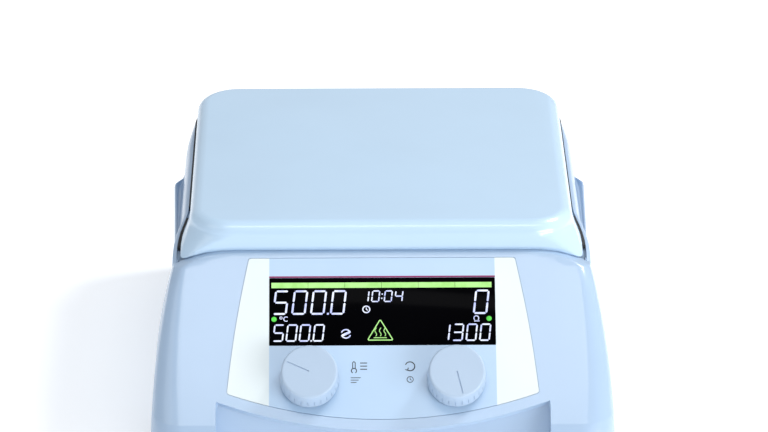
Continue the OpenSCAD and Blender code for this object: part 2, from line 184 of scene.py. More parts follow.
def combine(obj, tools, operation="DIFFERENCE"):
    """Applies booleans with the tools one after the other and removes the tools."""
    for tool in tools:
        mod = obj.modifiers.new("cut", "BOOLEAN")
        mod.operation = operation
        mod.solver = "EXACT"
        mod.object = tool
        apply_modifiers(obj)
        mesh = tool.data
        bpy.data.objects.remove(tool)
        bpy.data.meshes.remove(mesh)


def tidy_mesh(obj, distance=0.02):
    """Merges the doubled points that booleans leave behind, and closes any pinhole."""
    bm = bmesh.new()
    bm.from_mesh(obj.data)
    bmesh.ops.remove_doubles(bm, verts=bm.verts, dist=distance * MM)
    bmesh.ops.dissolve_degenerate(bm, edges=bm.edges, dist=0.005 * MM)
    rims = [edge for edge in bm.edges if len(edge.link_faces) == 1]
    bmesh.ops.holes_fill(bm, edges=rims, sides=12)
    bmesh.ops.recalc_face_normals(bm, faces=bm.faces)
    bm.to_mesh(obj.data)
    bm.free()


def skin(bm, loops, closed_path=True, closed_profile=False):
    """Quads between loops of points; a closed profile on an open path gets a cap at each end."""
    rings = [[bm.verts.new(p) for p in loop] for loop in loops]
    count = len(rings[0])
    pairs = list(zip(rings, rings[1:]))
    if closed_profile:
        pairs.append((rings[-1], rings[0]))
    for low, high in pairs:
        for i in range(count if closed_path else count - 1):
            j = (i + 1) % count
            bm.faces.new((low[i], low[j], high[j], high[i]))
    if closed_profile and not closed_path:
        bm.faces.new([ring[0] for ring in rings])
        bm.faces.new([ring[-1] for ring in reversed(rings)])
    return rings


def cap(bm, rings):
    """Closes the first and the last ring of a skin."""
    bm.faces.new(rings[-1])
    bm.faces.new(list(reversed(rings[0])))


def prism(outline, place, low, high, bm=None):
    """A closed prism: an outline of (a, b) points, placed at low and at high by place(a, b, h)."""
    bm = bm or bmesh.new()
    bottom = [bm.verts.new(place(a, b, low)) for a, b in outline]
    top = [bm.verts.new(place(a, b, high)) for a, b in outline]
    bm.faces.new(list(reversed(bottom)))
    bm.faces.new(top)
    count = len(outline)
    for i in range(count):
        j = (i + 1) % count
        bm.faces.new((bottom[i], bottom[j], top[j], top[i]))
    return bm


def upward(a, b, h):
    """Places an outline of (x, y), extruded in z."""
    return (a, b, h)


def backward(a, b, h):
    """Places an outline of (x, z), extruded in y."""
    return (a, h, b)


def sideways(a, b, h):
    """Places an outline of (y, z), extruded in x."""
    return (h, a, b)


def rounded(points, radius, steps=5):
    """An outline with its corners rounded; radius is one number or one for each corner."""
    result = []
    count = len(points)
    for i, here in enumerate(points):
        r = radius[i] if isinstance(radius, (list, tuple)) else radius
        p = Vector(here)
        back = Vector(points[i - 1]) - p
        ahead = Vector(points[(i + 1) % count]) - p
        if r <= 0:
            result.append(tuple(p))
            continue
        turn = back.angle(ahead)
        cut = min(r / math.tan(turn / 2), back.length * 0.49, ahead.length * 0.49)
        start, end = p + back.normalized() * cut, p + ahead.normalized() * cut
        for k in range(steps + 1):
            t = k / steps
            result.append(tuple(start * (1 - t) ** 2 + p * 2 * t * (1 - t) + end * t * t))
    return result


def rectangle(x0, x1, y0, y1):
    return [(x0, y0), (x1, y0), (x1, y1), (x0, y1)]


# ---------------------------------------------------------------- materials

def shader(name, rough, metal=0.0, coat=0.0, specular=0.5, sheen=0.0):
    """A material with its Principled shader; values that are the same all over sit on its sockets."""
    mat = bpy.data.materials.new(name)
    mat.use_nodes = True
    nodes, links = mat.node_tree.nodes, mat.node_tree.links
    principled = nodes["Principled BSDF"]
    principled.inputs["Roughness"].default_value = rough
    principled.inputs["Metallic"].default_value = metal
    principled.inputs["Coat Weight"].default_value = coat
    principled.inputs["Coat Roughness"].default_value = 0.12
    principled.inputs["Specular IOR Level"].default_value = specular
    principled.inputs["Sheen Weight"].default_value = sheen
    return mat, nodes, links, principled


def coordinates(nodes, links, stretch=(1, 1, 1)):
    where = nodes.new("ShaderNodeTexCoord")
    mapping = nodes.new("ShaderNodeMapping")
    mapping.inputs["Scale"].default_value = stretch
    links.new(where.outputs["Object"], mapping.inputs["Vector"])
    return mapping.outputs["Vector"]


def noise(nodes, links, vector, scale, detail=3.0, rough=0.5):
    tex = nodes.new("ShaderNodeTexNoise")
    tex.inputs["Scale"].default_value = scale
    tex.inputs["Detail"].default_value = detail
    tex.inputs["Roughness"].default_value = rough
    links.new(vector, tex.inputs["Vector"])
    return tex.outputs["Fac"]


def ramp(nodes, links, source, stops):
    """Colour by a factor: stops are (place, (r, g, b))."""
    node = nodes.new("ShaderNodeValToRGB")
    points = node.color_ramp.elements
    while len(points) < len(stops):
        points.new(0.5)
    for point, (place, colour) in zip(points, stops):
        point.position = place
        point.color = (*colour, 1.0)
    links.new(source, node.inputs["Fac"])
    return node.outputs["Color"]


def spread(nodes, links, source, low, high):
    node = nodes.new("ShaderNodeMapRange")
    node.inputs["To Min"].default_value = low
    node.inputs["To Max"].default_value = high
    links.new(source, node.inputs["Value"])
    return node.outputs["Result"]


def bump(nodes, links, principled, height, strength, distance):
    node = nodes.new("ShaderNodeBump")
    node.inputs["Strength"].default_value = strength
    node.inputs["Distance"].default_value = distance * MM
    links.new(height, node.inputs["Height"])
    links.new(node.outputs["Normal"], principled.inputs["Normal"])


def shade(colour, factor):
    return tuple(min(c * factor, 1.0) for c in colour)


SLOW_SCALE = 18.0       # scale of the slow colour change over a surface


def grained(name, colour, rough, grain=900.0, depth=0.02, vary=0.04, metal=0.0, coat=0.0,
            stretch=(1, 1, 1), specular=0.5, sheen=0.0, strength=0.25):
    """Moulded, painted, cast or brushed surface: slow colour change, fine grain, varied gloss."""
    mat, nodes, links, principled = shader(name, rough, metal, coat, specular, sheen)
    vector = coordinates(nodes, links, stretch)
    slow = noise(nodes, links, vector, SLOW_SCALE)
    fine = noise(nodes, links, vector, grain, 4.0)
    colours = ramp(nodes, links, slow, [(0.3, shade(colour, 1 - vary)), (0.7, shade(colour, 1 + vary))])
    links.new(colours, principled.inputs["Base Color"])
    links.new(spread(nodes, links, fine, rough * 0.85, rough * 1.15), principled.inputs["Roughness"])
    bump(nodes, links, principled, fine, strength, depth)
    return mat


def banded(name, dark, light, period, axis="Z", rough=0.5, metal=0.0):
    """Stacked or wound layers along one axis, period mm from one band to the next."""
    band_at_one = 0.314    # metres between the wave texture's bands at scale 1
    mat, nodes, links, principled = shader(name, rough, metal)
    vector = coordinates(nodes, links)
    wave = nodes.new("ShaderNodeTexWave")
    wave.bands_direction = axis
    wave.inputs["Scale"].default_value = band_at_one / (period * MM)
    wave.inputs["Distortion"].default_value = 0.6
    links.new(vector, wave.inputs["Vector"])
    colours = ramp(nodes, links, wave.outputs["Fac"], [(0.1, dark), (0.8, light)])
    links.new(colours, principled.inputs["Base Color"])
    bump(nodes, links, principled, wave.outputs["Fac"], 0.6, 0.2)
    return mat


def circuit(name):
    """Solder mask over tracks, with rows of pads."""
    mat, nodes, links, principled = shader(name, 0.35, 0.0, 0.3)
    vector = coordinates(nodes, links)
    brick = nodes.new("ShaderNodeTexBrick")
    brick.inputs["Scale"].default_value = 180
    brick.inputs["Mortar Size"].default_value = 0.012
    brick.inputs["Color1"].default_value = (0.02, 0.16, 0.07, 1)
    brick.inputs["Color2"].default_value = (0.03, 0.22, 0.10, 1)
    brick.inputs["Mortar"].default_value = (0.10, 0.36, 0.17, 1)
    links.new(vector, brick.inputs["Vector"])
    links.new(brick.outputs["Color"], principled.inputs["Base Color"])
    bump(nodes, links, principled, brick.outputs["Fac"], 0.3, 0.05)
    return mat


def fibrous(name, colour, scale=500.0):
    """Felted fibres or a braided sleeve."""
    mat, nodes, links, principled = shader(name, 0.95, sheen=0.3, specular=0.2)
    vector = coordinates(nodes, links, (1, 1, 4))
    fibres = noise(nodes, links, vector, scale, 8.0, 0.7)
    colours = ramp(nodes, links, fibres, [(0.3, shade(colour, 0.8)), (0.7, shade(colour, 1.1))])
    links.new(colours, principled.inputs["Base Color"])
    bump(nodes, links, principled, fibres, 0.8, 0.3)
    return mat


def glowing(name, colour, power, edge_colour):
    """Lit display segment, a little uneven in brightness."""
    mat, nodes, links, principled = shader(name, 0.4)
    vector = coordinates(nodes, links)
    uneven = noise(nodes, links, vector, 220.0)
    colours = ramp(nodes, links, uneven, [(0.35, edge_colour), (0.6, colour)])
    links.new(colours, principled.inputs["Emission Color"])
    principled.inputs["Emission Strength"].default_value = power
    off = ramp(nodes, links, uneven, [(0.35, shade(edge_colour, 0.05)), (0.6, shade(colour, 0.08))])
    links.new(off, principled.inputs["Base Color"])
    return mat


HOUSING = (0.37, 0.50, 0.67)
M = {
    "cover_glaze": grained("cover_glaze", (0.51, 0.68, 0.85), 0.24, 1800, 0.003, 0.015, coat=0.3,
                           strength=0.05),
    "housing_paint": grained("housing_paint", HOUSING, 0.38, 1400, 0.012, 0.02, coat=0.45,
                             strength=0.2),
    "black_gasket": grained("black_gasket", (0.018, 0.02, 0.024), 0.7, 1500, 0.03, 0.2),
    "foot_rubber": grained("foot_rubber", (0.02, 0.02, 0.02), 0.8, 1800, 0.05, 0.25, sheen=0.1),
    "knob_plastic": grained("knob_plastic", (0.41, 0.52, 0.66), 0.48, 2600, 0.02, 0.02),
    "sheet_steel": grained("sheet_steel", (0.62, 0.63, 0.65), 0.38, 700, 0.01, 0.08, metal=1.0,
                           stretch=(1, 12, 1)),
    "bright_steel": grained("bright_steel", (0.70, 0.71, 0.73), 0.22, 900, 0.006, 0.05, metal=1.0,
                            stretch=(1, 1, 10)),
    "cast_alloy": grained("cast_alloy", (0.62, 0.63, 0.65), 0.5, 1100, 0.05, 0.08, metal=1.0),
    "heater_foil": banded("heater_foil", (0.20, 0.15, 0.08), (0.62, 0.50, 0.30), 60.0, "X", 0.5, 0.6),
    "insulation": fibrous("insulation", (0.86, 0.83, 0.76)),
    "white_ceramic": grained("white_ceramic", (0.86, 0.84, 0.79), 0.5, 900, 0.02, 0.03),
    "lead_sleeve": fibrous("lead_sleeve", (0.55, 0.12, 0.08), 1500.0),
    "pan_plastic": grained("pan_plastic", (0.10, 0.105, 0.115), 0.6, 1500, 0.05, 0.1),
    "circuit_board": circuit("circuit_board"),
    "dark_plastic": grained("dark_plastic", (0.02, 0.02, 0.023), 0.42, 1700, 0.03, 0.2),
    "pale_plastic": grained("pale_plastic", (0.76, 0.76, 0.72), 0.4, 1200, 0.02, 0.03),
    "core_steel": banded("core_steel", (0.07, 0.07, 0.08), (0.30, 0.30, 0.32), 10.0, "Z", 0.5, 0.7),
    "copper_winding": banded("copper_winding", (0.28, 0.09, 0.03), (0.75, 0.33, 0.13), 8.0, "Z",
                             0.35, 0.9),
    "magnet_plating": grained("magnet_plating", (0.58, 0.59, 0.61), 0.25, 900, 0.006, 0.05, metal=1.0),
    "capacitor_sleeve": grained("capacitor_sleeve", (0.03, 0.05, 0.15), 0.3, 1300, 0.02, 0.1),
    "brass_contact": grained("brass_contact", (0.72, 0.54, 0.24), 0.3, 900, 0.008, 0.06, metal=1.0),
    "rocker_plastic": grained("rocker_plastic", (0.025, 0.025, 0.028), 0.25, 1500, 0.01, 0.15),
    "ribbon_sleeve": banded("ribbon_sleeve", (0.25, 0.26, 0.28), (0.50, 0.52, 0.55), 12.7, "X", 0.5),
    "fuse_glass": grained("fuse_glass", (0.75, 0.80, 0.80), 0.12, 500, 0.004, 0.06, metal=0.3),
    "display_glass": grained("display_glass", (0.001, 0.001, 0.0015), 0.10, 500, 0.003, 0.2, coat=0.0,
                             specular=0.01, strength=0.05),
    "digit_light": glowing("digit_light", (0.80, 0.86, 1.0), 1.1, (0.52, 0.58, 1.0)),
    "bar_light": glowing("bar_light", (0.50, 1.0, 0.30), 0.9, (0.42, 0.90, 0.22)),
    "dot_light": glowing("dot_light", (0.10, 0.85, 0.06), 0.9, (0.06, 0.62, 0.04)),
    "stripe_ink": grained("stripe_ink", (0.24, 0.004, 0.09), 0.6, 1500, 0.01, 0.1),
    "print_ink": grained("print_ink", (0.02, 0.022, 0.03), 0.5, 1500, 0.01, 0.2),
}


def overlay_film():
    """Satin film: nearly white sides, and a light blue middle band as wide as the display."""
    band_half, band_blend = 55.0, 0.3
    mat, nodes, links, principled = shader("overlay_film", 0.28, 0.0, 0.15)
    vector = coordinates(nodes, links)
    split = nodes.new("ShaderNodeSeparateXYZ")
    links.new(vector, split.inputs["Vector"])
    size = nodes.new("ShaderNodeMath")
    size.operation = "ABSOLUTE"
    links.new(split.outputs["X"], size.inputs[0])
    band = nodes.new("ShaderNodeMapRange")
    band.inputs["From Min"].default_value = band_half * MM
    band.inputs["From Max"].default_value = (band_half + band_blend) * MM
    links.new(size.outputs["Value"], band.inputs["Value"])
    cloud = noise(nodes, links, vector, 14.0)
    blue = ramp(nodes, links, cloud, [(0.3, (0.37, 0.52, 0.70)), (0.7, (0.41, 0.56, 0.74))])
    white = ramp(nodes, links, cloud, [(0.3, (0.64, 0.72, 0.74)), (0.7, (0.69, 0.76, 0.78))])
    mix = nodes.new("ShaderNodeMix")
    mix.data_type = "RGBA"
    links.new(band.outputs["Result"], mix.inputs["Factor"])
    links.new(blue, mix.inputs["A"])
    links.new(white, mix.inputs["B"])
    links.new(mix.outputs["Result"], principled.inputs["Base Color"])
    fine = noise(nodes, links, vector, 2400.0)
    bump(nodes, links, principled, fine, 0.12, 0.01)
    return mat


M["overlay_film"] = overlay_film()


# ---------------------------------------------------------------- CAD nodes that stay

def dress_cad_nodes():
    """Gives every CAD node its slot's material, and a fine bevel on the crisp ones."""
    soft_edges = {"rear_panel": 0.3, "mains_inlet": 0.5, "fuse_drawer": 0.4, "switch_frame": 0.6,
                  "power_rocker": 0.5, "data_port": 0.3, "probe_socket": 0.4, "rubber_feet": 0.6,
                  "base_pan": 0.3, "rod_socket": 0.3, "rear_panel_screws": 0.3}
    slots = {s["node"]: s["material_slot"] for s in frame["record"]["subparts"]}
    for node, obj in frame["nodes"].items():
        material = M[slots[node]]
        obj.data.materials.clear()
        obj.data.materials.append(material)
        if node in soft_edges:
            weld = obj.modifiers.new("join_faces", "WELD")
            weld.merge_threshold = 0.005 * MM
            add_bevel(obj, soft_edges[node], 2, 40)


dress_cad_nodes()


# ---------------------------------------------------------------- the plate cover

def plate_loop(inset, z, front=PLATE_CORNER, corner_steps=14, side_steps=24):
    """One level of the cover: a rounded square seen from above, front is its front corner radius."""
    half = PLATE_HALF - inset
    corners = []
    for turn, (sx, sy) in enumerate([(1, 1), (-1, 1), (-1, -1), (1, -1)]):
        r = max((PLATE_CORNER if sy > 0 else front) - inset, 0.5)
        corners.append(arc(sx * (half - r), sy * (half - r), r, turn * 90, turn * 90 + 90, corner_steps))
    points = []
    for turn, corner in enumerate(corners):
        points.extend(corner)
        start, end = Vector(corner[-1]), Vector(corners[(turn + 1) % 4][0])
        points.extend(tuple(start.lerp(end, i / side_steps)) for i in range(1, side_steps))
    return [(x, PLATE_Y + y, z) for x, y in points]


def side_drop(y):
    """How far the joint between cover and housing falls beside the plate, towards the front."""
    return CORNER_DROP * min(max((-23 - y) / 43, 0.0), 1.0) ** 2.6


def skirt_drop(x, y):
    """How far the cover's lower edge dips below SKIRT_Z: most at the two front corners."""
    corner = min(max((abs(x) - 69) / 28, 0.0), 1.0) ** 2.4
    return side_drop(y) * (FRONT_DROP + (CORNER_DROP - FRONT_DROP) * corner) / CORNER_DROP


def skirt_flare(y):
    """How far the lower edge stands out sideways near the front corners."""
    return 4.4 * smooth((-19 - y) / 40)


def cover_level(inset, z, reach):
    """A level of the cover, pulled down and out by the share that reach gives."""
    result = []
    front = PLATE_CORNER + (FRONT_CORNER - PLATE_CORNER) * reach
    for x, y, height in plate_loop(inset, z, front):
        side = x / PLATE_HALF * skirt_flare(y) * reach ** 1.3
        result.append((x + side, y, height - skirt_drop(x, y) * reach))
    return result


def make_cover():
    """The square cover of the hot plate, with a skirt that dips at its front corners."""
    bm = bmesh.new()
    loops = []
    # inside, from the underside of the top down to the lower edge
    loops.append(plate_loop(PLATE_EDGE + 1, PLATE_TOP - 4))
    loops.append(plate_loop(4, PLATE_TOP - 6))
    loops.append(cover_level(3.4, SKIRT_Z, 1.0))
    # rounded lower edge, then up the outside
    loops.append(cover_level(2.2, SKIRT_Z - 0.5, 1.0))
    loops.append(cover_level(0.9, SKIRT_Z - 0.4, 1.0))
    loops.append(cover_level(0.2, SKIRT_Z + 0.4, 1.0))
    for i in range(1, 5):
        t = i / 5
        z = SKIRT_Z + 0.4 + (PLATE_TOP - PLATE_EDGE - SKIRT_Z - 0.4) * t
        loops.append(cover_level(0.2 * (1 - t), z, 1 - t))
    for a in range(0, 91, 9):
        t = math.radians(a)
        inset = PLATE_EDGE * (1 - math.cos(t))
        loops.append(plate_loop(inset, PLATE_TOP - PLATE_EDGE + PLATE_EDGE * math.sin(t)))
    cap(bm, skin(bm, loops))
    obj = new_object("plate_cover_glazed", bm, M["cover_glaze"], CHASSIS)
    smooth_by_angle(obj, 40)
    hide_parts("top_cover")


def has_seal(x, y, side):
    """Side 0 is the long seal round the back, -1 and 1 are the short ones at the front corners."""
    if side == 0:
        return y > SEAL_FRONT_Y
    return CORNER_SEAL_Y[0] < y < CORNER_SEAL_Y[1] and x * side > 0


def seal_path(out, lift, side):
    """Path of a seal, out sideways from the cover's lower edge and lift below it."""
    points = []
    for x, y, z in cover_level(0.0, SKIRT_Z, 1.0):
        if has_seal(x, y, side):
            points.append((x + math.copysign(1, x) * out, y + out * smooth((y - 90) / 30), z - lift))
    left = [p for p in points if p[0] < 0]
    right = [p for p in points if p[0] >= 0]
    left.sort(key=lambda p: math.atan2(PLATE_Y - p[1], -p[0]), reverse=True)
    right.sort(key=lambda p: math.atan2(PLATE_Y - p[1], p[0]))
    return left + right


def make_gasket():
    """Black seal that shows as a line beside the cover, with a short piece at each front corner."""
    bm = bmesh.new()
    for side, out in ((0, 1.45), (-1, 1.5), (1, 1.5)):
        profile = [(-3.0, 0.5), (out - 0.3, 0.5), (out, 0.8), (out, 2.1), (out - 0.3, 2.4),
                   (-3.0, 2.4)]
        loops = [seal_path(reach, lift, side) for reach, lift in profile]
        skin(bm, loops, closed_path=False, closed_profile=True)
    obj = new_object("cover_seal", bm, M["black_gasket"], CHASSIS)
    smooth_by_angle(obj, 50)
    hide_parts("cover_gasket")


# ---------------------------------------------------------------- the main housing

def u_path(half, rear, radius, front, side_steps=26, corner_steps=12, rear_steps=16):
    """Path from the front left, along the side, round the back, to the front right."""
    left = [(-half, front + (rear - radius - front) * i / side_steps) for i in range(side_steps)]
    corner = arc(-half + radius, rear - radius, radius, 180, 90, corner_steps)
    across = [(-half + radius + 2 * (half - radius) * i / rear_steps, rear)
              for i in range(1, rear_steps)]
    points = left + corner + across
    mirrored = [(-x, y) for x, y in reversed(left + corner)]
    return points + mirrored


def housing_levels():
    """Section of the main housing: half width, rear, corner radius and height of each level."""
    low = BASE_Z + 0.8
    levels = [(SIDE_X - 0.8, REAR_Y - 0.8, 21, BASE_Z), (SIDE_X, REAR_Y, 22, low)]
    levels += [(SIDE_X - 1.9 * t, REAR_Y, 22, low + (SHOULDER_Z - low) * t) for t in (0.5, 1.0)]
    # the shoulder turns in to the rim
    for a in range(12, 91, 13):
        turn, rise = math.cos(math.radians(a)), math.sin(math.radians(a))
        levels.append((96.3 + 4.5 * turn, 136.5 + 3.5 * turn, 20 + 2 * turn,
                       SHOULDER_Z + (RIM_Z + 1.0 - SHOULDER_Z) * rise))
    # the rim under the cover, then down the inside
    levels += [(96.4, 125.5, 18, RIM_Z + 1.0), (96.2, 125.3, 17.5, RIM_Z + 0.6),
               (96.2, 125.3, 17.5, RIM_Z - 0.6), (92.5, 121, 16, RIM_Z - 0.6),
               (92.5, 121, 16, RIM_Z - 6), (93.5, 123, 17, RIM_Z - 6), (94.0, 133.5, 18, RIM_Z - 4),
               (97.8, 137, 19, 83), (99.7, 137, 19, low), (100.5, 137.8, 20, BASE_Z)]
    return levels


def beside_cover(x, y, z):
    """A point of the main housing, drawn in behind and following the cover's edge in front."""
    narrow = 1 - 0.045 * smooth((y - 72) / 66)
    wide = skirt_flare(y) + 0.3 * smooth((-20 - y) / 6)
    wide *= smooth((z - 88) / 8) * smooth((abs(x) - 85) / 8)
    return (x * narrow + math.copysign(wide, x), y, z - side_drop(y) * smooth((z - 74) / 22))


def housing_openings():
    """Tools for the rear panel's opening, its four screws and the support rod's hole."""
    inside_y, outside_y, head_y = 130, 150, 138.5
    screw_x, screw_head_r, screw_r = 60, 3.0, 1.7
    panel = rounded(rectangle(-78, 78, 16, 76), 3)
    tools = [cutter(prism(panel, backward, inside_y, outside_y))]
    for z in (81, 12.8):
        for x in (-screw_x, screw_x):
            tools.append(cutter(prism(circle(x, z, screw_head_r), backward, head_y, outside_y)))
            tools.append(cutter(prism(circle(x, z, screw_r), backward, inside_y, outside_y)))
    tools.append(cutter(prism(circle(-70, 128.5, 6.1, 48), upward, 80, 110)))
    return tools


def make_main_housing():
    """The housing beside and behind the plate, open below and in front."""
    bm = bmesh.new()
    loops = []
    for half, rear, radius, z in housing_levels():
        loops.append([beside_cover(x, y, z) for x, y in u_path(half, rear, radius, SPLIT_Y)])
    skin(bm, loops, closed_path=False, closed_profile=True)
    obj = new_object("main_housing_shell", bm, M["housing_paint"], CHASSIS)
    combine(obj, housing_openings())
    tidy_mesh(obj)
    add_bevel(obj, 0.5, 2, 45)
    apply_modifiers(obj)
    smooth_by_angle(obj, 35)
    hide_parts("main_housing")


def make_side_grip(side, node):
    """Moulded grip beside the plate: a scooped top facet that narrows towards the front."""
    bm = bmesh.new()
    loops = []
    steps = 36
    rear_y, front_y = 66.0, SPLIT_Y + 0.3
    for i in range(steps + 1):
        t = i / steps
        y = rear_y + (front_y - rear_y) * t
        start = smooth(min(t / 0.1, 1.0))             # the rear end swells out of the housing
        out = 101.6 + (0.2 + 4.8 * (1 - t)) * start   # where the side stands
        low = 100.8                                   # just inside the housing's skin
        top = 81.5 + 7.5 * t
        dish = (3.4 - 2.6 * t) * start
        ledge = (out - low) * 0.55
        section = [
            (low - 0.6, top + 0.6), (low + 0.1, top + 0.3),
            (low + ledge * 0.6, top - dish * 0.9), (low + ledge, top - dish),
            (out - 1.0, top - 0.8), (out - 0.35, top - 1.0), (out, top - 2.0),
            (out + 0.15, top - 12), (out + 0.6 + 1.4 * (1 - t), BASE_Z + 2.0),
            (out + 1.0 * (1 - t), BASE_Z + 1.0), (low + 0.6, BASE_Z + 1.0),
        ]
        lean = 13.0 * (1 - t)
        loops.append([(side * x, y + (84 - z) * lean / 84, z) for x, z in section])
    rings = skin(bm, loops)
    bm.faces.new(rings[0])
    bm.faces.new(list(reversed(rings[-1])))
    obj = new_object(node + "_shell", bm, M["housing_paint"], CHASSIS)
    smooth_by_angle(obj, 38)
    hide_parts(node)


# ---------------------------------------------------------------- the console

def console_path(half, front, radius, back, corner_steps=12, side_steps=10, front_steps=24):
    """Path from the back left, forward, across the front, to the back right."""
    left = [(-half, back + (front + radius - back) * i / side_steps) for i in range(side_steps)]
    corner = arc(-half + radius, front + radius, radius, 180, 270, corner_steps)
    across = [(-half + radius + 2 * (half - radius) * i / front_steps, front)
              for i in range(1, front_steps)]
    mirrored = [(-x, y) for x, y in reversed(left + corner)]
    return left + corner + across + mirrored


def slope_y(z):
    """Y of the sloped panel at a height."""
    return PANEL_Y - (PANEL_Z - z)


def console_levels(inset):
    """Levels of the console from the bottom to the top edge: half width, front, corner, height."""
    levels = [(112.6 - inset, -140 + inset, 17, BASE_Z)]
    levels.append((113.0 - inset, -139.4 + inset, 17, 14))
    levels.append((112.9 - inset, -137.8 + inset, 17, 22))
    turn_z, turn_r = 33.3 - inset * 0.5, 2.4
    for a in (0, 20, 45, 70, 90):
        t = math.radians(a) / 2
        z = turn_z - 1.2 + turn_r * math.sin(t) * 1.2
        y = max(-135.2 + inset + turn_r * (1 - math.cos(t)) * 1.2, slope_y(z) + inset * 1.414)
        levels.append((112.6 - inset - 0.6 * (z - 29) / 8, y, 16.5, z))
    first = levels[-1][3]
    for i in range(1, 11):
        t = i / 10
        z = first + (90 - first) * t
        half = 112.0 - 9.7 * t ** 1.6
        radius = 16.0 - 9.0 * t
        levels.append((half - inset, slope_y(z) + inset * 1.414, radius, z))
    return levels


def under_cover(x, z):
    """Height z, kept just below the cover's lower edge, which dips towards its corners."""
    return min(z, SKIRT_Z - 0.4 - skirt_drop(0.96 * x, SPLIT_Y - 2))


def console_loops(levels):
    """The console's levels as loops of points, kept under the cover."""
    return [[(x, y, under_cover(x, z)) for x, y in console_path(half, front, radius, SPLIT_Y)]
            for half, front, radius, z in levels]


def make_console():
    """The console's hollow shell, before its openings are cut."""
    bm = bmesh.new()
    # the top edge narrows under the plate's dipping corners
    top = [(100.6, slope_y(91.6), 7, 91.6), (97.5, slope_y(93.2), 6, 93.2),
           (92, slope_y(94.6), 5.5, 94.6), (86, slope_y(95.5), 4, 95.5), (80, slope_y(95.9), 3, 95.9),
           (79.8, -69.7, 2.5, 96.0), (79.5, -69.3, 2.0, 96.0), (79.0, -66.6, 0.2, 96.0)]
    inner_top = [(78, -67.0, 0.2, 92.5)]
    inner = list(reversed(console_levels(WALL)))
    loops = console_loops(console_levels(0.0) + top + inner_top + inner)
    skin(bm, loops, closed_path=False, closed_profile=True)
    return new_object("console_shell", bm, M["housing_paint"], CHASSIS)


def curved_edge(half, middle_v, radius, steps=60):
    """A curved lower edge on the slope, from right to left, as (x, v)."""
    edge = []
    for i in range(steps + 1):
        x = half - 2 * half * i / steps
        edge.append((x, middle_v - radius + math.sqrt(radius ** 2 - x ** 2)))
    return edge


def lip_outline():
    """The lip seen on the slope, down to its curved front edge, as (x, v)."""
    top = [(-RECESS_X, LIP_TOP_V), (RECESS_X, LIP_TOP_V)]
    return top + curved_edge(RECESS_X, LIP_V, LIP_R)


def overlay_outline(grow=0.0):
    """The printed overlay on the slope, with its curved lower edge, as (x, v)."""
    top_half, low_half = 65.1 + grow, 75.6 + grow
    top_v = 3.3 - grow
    low = curved_edge(low_half, OVERLAY_V + grow, OVERLAY_R)
    low_v = low[0][1]
    side = []
    for i in range(1, 12):
        t = i / 12
        side.append((-low_half + (low_half - top_half) * t - 1.0 * math.sin(math.pi * t),
                     low_v + (top_v - low_v) * t))
    right = [(-x, v) for x, v in reversed(side)]
    points = [(-top_half, top_v), (top_half, top_v)] + right + low + side
    radii = [1.6, 1.6] + [0] * len(right) + [1.6] + [0] * (len(low) - 2) + [1.6] + [0] * len(side)
    return rounded(points, radii)


def recess_box():
    """The finger recess in front, with rounded rear corners."""
    outline = rounded([(-RECESS_X, -160), (RECESS_X, -160), (RECESS_X, RECESS_Y),
                       (-RECESS_X, RECESS_Y)], [0, 0, 5, 5], 6)
    return cutter(prism(outline, upward, -5, 60))


def make_flanges():
    """Closes the console behind, where it stands wider than the main housing."""
    bm = bmesh.new()
    cap(bm, skin(bm, console_loops(console_levels(0.8))))
    obj = new_object("console_flanges", bm, M["housing_paint"], CHASSIS)
    bars = bmesh.new()
    for side in (-1, 1):
        bar = rectangle(*sorted((side * 99.8, side * 130)), SPLIT_Y - WALL, SPLIT_Y - 0.2)
        prism(bar, upward, BASE_Z + 3.2, 85, bars)
    combine(obj, [cutter(bars)], "INTERSECT")
    tidy_mesh(obj)
    smooth_by_angle(obj, 30)


def recess_walls():
    """Back wall and side walls of the finger recess; the sides reach up to just under the slope."""
    rear = RECESS_Y + WALL
    back = rectangle(-RECESS_X - WALL, RECESS_X + WALL, RECESS_Y, rear)
    tools = [cutter(prism(back, upward, BASE_Z, 41))]
    side_wall = [(rear, BASE_Z), (rear, 46.4), (-134.2, 31.0), (-136.6, 22.0), (-136.6, BASE_Z)]
    for side in (-1, 1):
        near, far = sorted((side * RECESS_X, side * (RECESS_X + WALL)))
        tools.append(cutter(prism(side_wall, sideways, near, far)))
    return tools


def display_outline(grow, corner):
    """The display window on the slope, grown by some mm all round, as (x, v)."""
    half = LCD_W / 2 + grow
    return rounded(rectangle(-half, half, LCD_V - grow, LCD_V + LCD_H + grow), corner)


def panel_openings():
    """Tools for the overlay's shallow bed, the display window and the two knob shafts."""
    tools = [cutter(prism(overlay_outline(0.25), panel_point, -0.5, 6)),
             cutter(prism(display_outline(0.2, 0.6), panel_point, -12, 6))]
    for x in (-KNOB_X, KNOB_X):
        tools.append(cutter(prism(circle(x, KNOB_V, 4.8, 48), panel_point, -8, 6)))
    return tools


def make_console_shell():
    """The console with its finger recess, curved lip and panel openings."""
    obj = make_console()
    combine(obj, [recess_box()])
    combine(obj, recess_walls(), "UNION")
    lip = cutter(prism(lip_outline(), panel_point, -4.0, -0.002))
    combine(obj, [lip], "UNION")
    combine(obj, panel_openings())
    tidy_mesh(obj)
    add_bevel(obj, 0.7, 3, 38)
    apply_modifiers(obj)
    tidy_mesh(obj, 0.012)
    smooth_by_angle(obj, 34)
    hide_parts("console_housing")


# ---------------------------------------------------------------- the control panel

def make_overlay():
    bm = prism(overlay_outline(), panel_point, -0.5, 0.1)
    obj = new_object("overlay_print", bm, M["overlay_film"], CHASSIS)
    tools = [cutter(prism(display_outline(0.0, 0.6), panel_point, -4, 4))]
    for x in (-KNOB_X, KNOB_X):
        tools.append(cutter(prism(circle(x, KNOB_V, 5.0, 48), panel_point, -4, 4)))
    combine(obj, tools)
    smooth_by_angle(obj, 30)
    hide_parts("panel_overlay")


